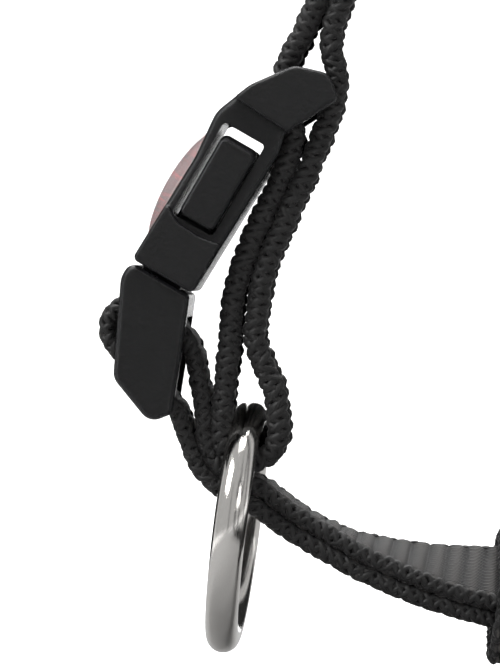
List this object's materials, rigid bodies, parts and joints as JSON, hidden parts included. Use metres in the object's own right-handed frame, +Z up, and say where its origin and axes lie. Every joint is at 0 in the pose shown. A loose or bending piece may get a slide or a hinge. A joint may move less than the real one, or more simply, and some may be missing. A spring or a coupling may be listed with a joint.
{
  "type": "head halter",
  "caption": "Dog head halter: webbing neck loop with a side release buckle and a lead ring, noseband, cheek, chin and jaw straps joined by rings.",
  "frame": {"origin": "on the floor, under the middle of the bounding box", "axes": "+Z up, +X from the buckle side across the head, the noseband lies towards -Y"},
  "size_m": [0.1628, 0.1154, 0.129],
  "materials": {
    "webbing": "woven nylon",
    "padding": "soft knit",
    "thread": "matte thread",
    "buckle_plastic": "fine grain",
    "slide_plastic": "fine grain",
    "badge_cover": "clear gloss",
    "badge_inlay": "plain",
    "ring_metal": "polished nickel"
  },
  "bodies": {
    "halter": {"neck_strap_inner": "webbing", "neck_strap_outer": "webbing", "neck_strap_ring_turn": "webbing", "neck_strap_top": "webbing", "neck_strap_right": "webbing", "throat_strap": "webbing", "adjuster_tail": "webbing", "tail_keeper": "webbing", "jaw_strap": "webbing", "noseband": "webbing", "chin_strap": "webbing", "cheek_strap_left": "webbing", "cheek_strap_right": "webbing", "noseband_pad": "padding", "buckle_female": "buckle_plastic", "badge_dome": "badge_cover", "badge_inlay": "badge_inlay", "jaw_stitching": "thread", "neck_stitching": "thread", "nose_stitching": "thread"},
    "male_half": {"buckle_male": "buckle_plastic", "adjuster_turn": "webbing"},
    "front_arm": {"release_arm_front": "buckle_plastic"},
    "rear_arm": {"release_arm_rear": "buckle_plastic"},
    "ring": {"lead_ring": "ring_metal"},
    "left_ring": {"cheek_ring_left": "ring_metal"},
    "right_ring": {"cheek_ring_right": "ring_metal"},
    "slide": {"jaw_slider": "slide_plastic"}
  },
  "joints": [
    {"name": "buckle_slide", "type": "slide", "parent": "halter", "child": "male_half", "axis": [-0.5, 0, -0.866], "range_m": [0, 0.016], "deforming": ["release_arm_front", "release_arm_rear"]},
    {"name": "front_button", "type": "hinge", "parent": "male_half", "child": "front_arm", "pos_m": [-0.07356, 0.0353, 0.04635], "axis": [-0.866, 0, 0.5], "range_deg": [0, 7], "stiffness_Nm_per_rad": 1.3},
    {"name": "rear_button", "type": "hinge", "parent": "male_half", "child": "rear_arm", "pos_m": [-0.07356, 0.0513, 0.04635], "axis": [-0.866, 0, 0.5], "range_deg": [-7, 0], "stiffness_Nm_per_rad": 1.3},
    {"name": "lead_ring_swing", "type": "hinge", "parent": "halter", "child": "ring", "pos_m": [-0.06471, 0.0433, 0.02824], "axis": [0.0401, 0.9992, 0], "range_deg": [-20, 20]},
    {"name": "left_ring_turn", "type": "hinge", "parent": "halter", "child": "left_ring", "pos_m": [-0.02556, -0.0417, 0.04874], "axis": [1, 0, 0], "range_deg": [-60, 60]},
    {"name": "right_ring_turn", "type": "hinge", "parent": "halter", "child": "right_ring", "pos_m": [0.04044, -0.0417, 0.04874], "axis": [1, 0, 0], "range_deg": [-60, 60]},
    {"name": "jaw_adjust", "type": "slide", "parent": "halter", "child": "slide", "axis": [0, 1, 0], "range_m": [-0.006, 0.006]}
  ]
}
